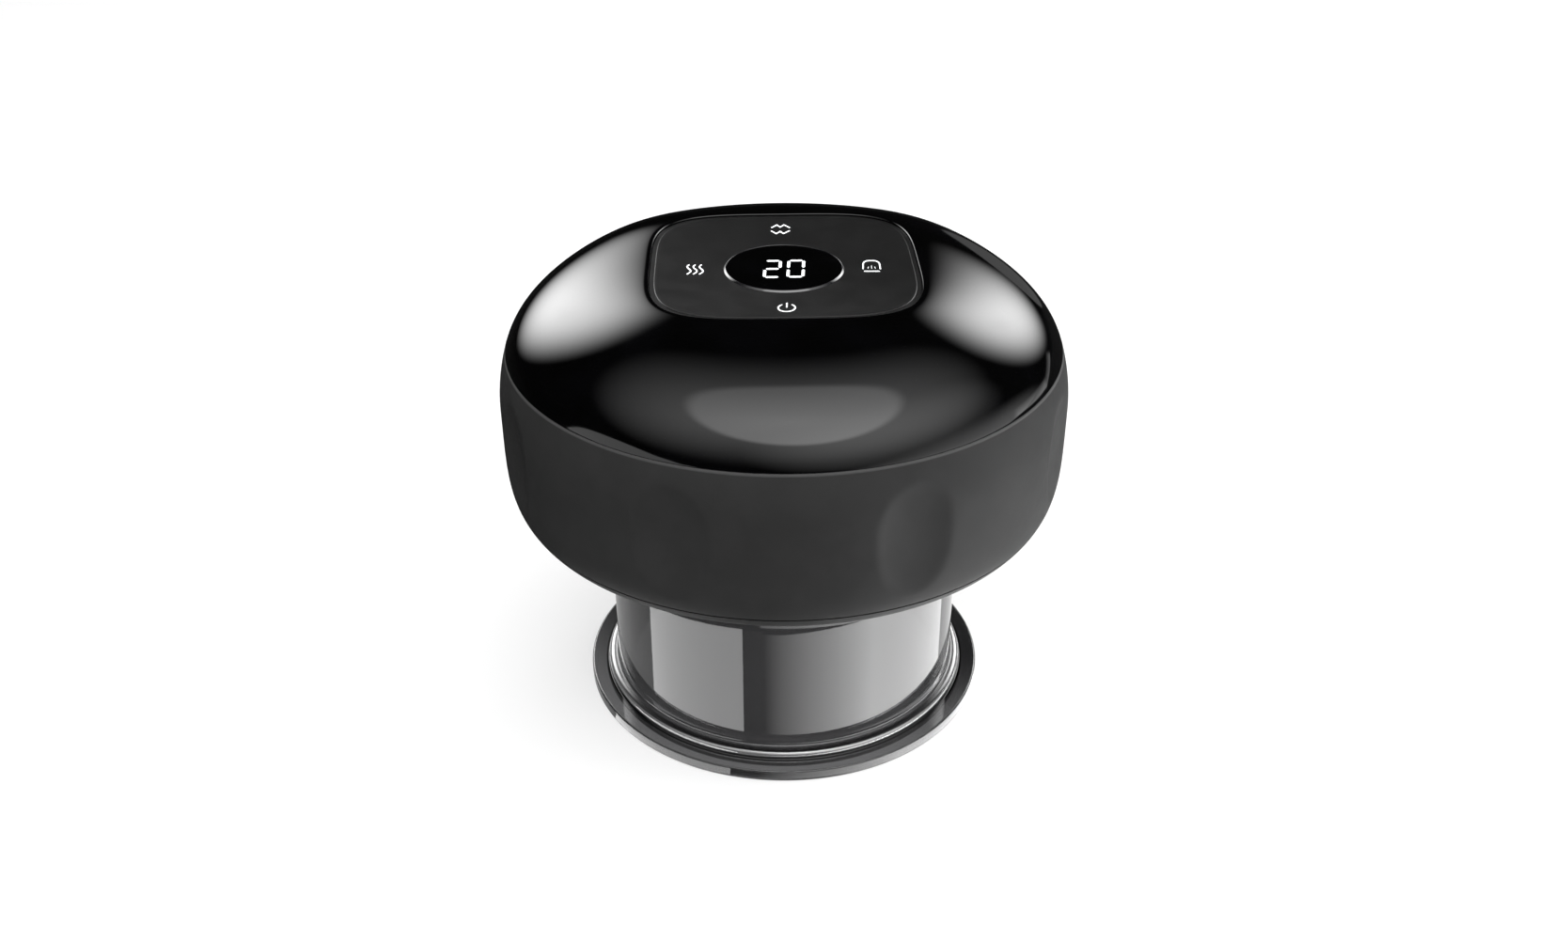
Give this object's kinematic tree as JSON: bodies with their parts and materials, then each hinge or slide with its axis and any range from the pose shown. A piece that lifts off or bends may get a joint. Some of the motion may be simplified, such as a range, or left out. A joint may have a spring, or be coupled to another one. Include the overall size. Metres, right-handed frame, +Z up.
{
  "type": "cupping massager",
  "caption": "Handheld cupping massager: a round head with touch panel, vacuum pump, heater and battery on a removable smoked suction cup.",
  "frame": {"origin": "centre of the cup's rim, on the face that rests on the skin or the table", "axes": "+Z up along the cup's axis towards the touch panel, -Y the front with the power key, +Y the back with the charging inlet"},
  "size_m": [0.1, 0.1, 0.083],
  "materials": {
    "cup_smoke": "smoked clear plastic, polished",
    "housing_matte": "soft-touch black, fine grain",
    "cover_gloss": "piano black, polished",
    "panel_satin": "satin black",
    "ring_bright": "polished trim",
    "lens_black": "dark tinted lens",
    "display_dark": "moulded number module",
    "board_green": "solder resist",
    "foam_dark": "conductive foam",
    "cable_flat": "flat flexible cable",
    "seal_red": "silicone ring",
    "plate_aluminium": "brushed",
    "film_amber": "heating film",
    "pad_felt": "insulating foam",
    "board_white": "white solder resist",
    "lamp_red": "red lamps",
    "window_red": "red translucent window",
    "moulding_grey": "moulded inner part",
    "filter_grey": "sintered filter",
    "screw_steel": "plated screw",
    "cell_sleeve": null,
    "strip_nickel": "nickel strip",
    "socket_shell": "drawn shell",
    "motor_steel": "zinc-plated can",
    "cap_ivory": "nylon",
    "magnet_dark": "ferrite",
    "rotor_copper": "laminated core and winding",
    "hose_silicone": "silicone tube",
    "lead_red": "insulated wire",
    "coil_copper": "enamelled wire",
    "rubber_black": "moulded rubber"
  },
  "bodies": {
    "cup": {"suction_cup": "cup_smoke"},
    "head": {"lower_housing": "housing_matte", "top_cover": "cover_gloss", "touch_panel": "panel_satin", "display_ring": "ring_bright", "display_lens": "lens_black", "display_module": "display_dark", "touch_board": "board_green", "touch_keys": "foam_dark", "touch_cable": "cable_flat", "base_cover": "housing_matte", "seal_ring": "seal_red", "heater_plate": "plate_aluminium", "heater_film": "film_amber", "insulation_pad": "pad_felt", "lamp_board": "board_white", "lamps": "lamp_red", "lamp_window": "window_red", "suction_nipple": "moulding_grey", "suction_filter": "filter_grey", "base_screws": "screw_steel", "chassis": "moulding_grey", "chassis_screws": "screw_steel", "battery_cell": "cell_sleeve", "battery_tabs": "strip_nickel", "main_board": "board_green", "board_screws": "screw_steel", "charge_board": "board_green", "usb_socket": "socket_shell", "motor_can": "motor_steel", "motor_cap": "cap_ivory", "motor_magnets": "magnet_dark", "motor_leads": "lead_red", "pump_case": "moulding_grey", "pump_rocker": "cap_ivory", "pump_diaphragm": "rubber_black", "pump_valve_plate": "cap_ivory", "pump_cover": "moulding_grey", "pump_screws": "screw_steel", "pump_hose": "hose_silicone", "suction_hose": "hose_silicone", "hose_tee": "moulding_grey", "valve_hose": "hose_silicone", "valve_seat": "moulding_grey", "valve_can": "motor_steel", "valve_coil": "coil_copper", "valve_spring": "screw_steel"},
    "pump_rotor": {"motor_shaft": "screw_steel", "motor_rotor": "rotor_copper", "drive_crank": "cap_ivory"},
    "plunger": {"valve_plunger": "screw_steel"}
  },
  "joints": [
    {"name": "head_lift", "type": "slide", "parent": "cup", "child": "head", "axis": [0, 0, 1], "range_m": [0, 0.03]},
    {"name": "pump_spin", "type": "hinge", "parent": "head", "child": "pump_rotor", "pos_m": [0, -0.019, 0.061], "axis": [1, 0, 0], "continuous": true},
    {"name": "valve_open", "type": "slide", "parent": "head", "child": "plunger", "axis": [1, 0, 0], "range_m": [0, 0.001], "stiffness_N_per_m": 150, "springref_m": -0.001, "deforming": ["valve_spring"]}
  ]
}
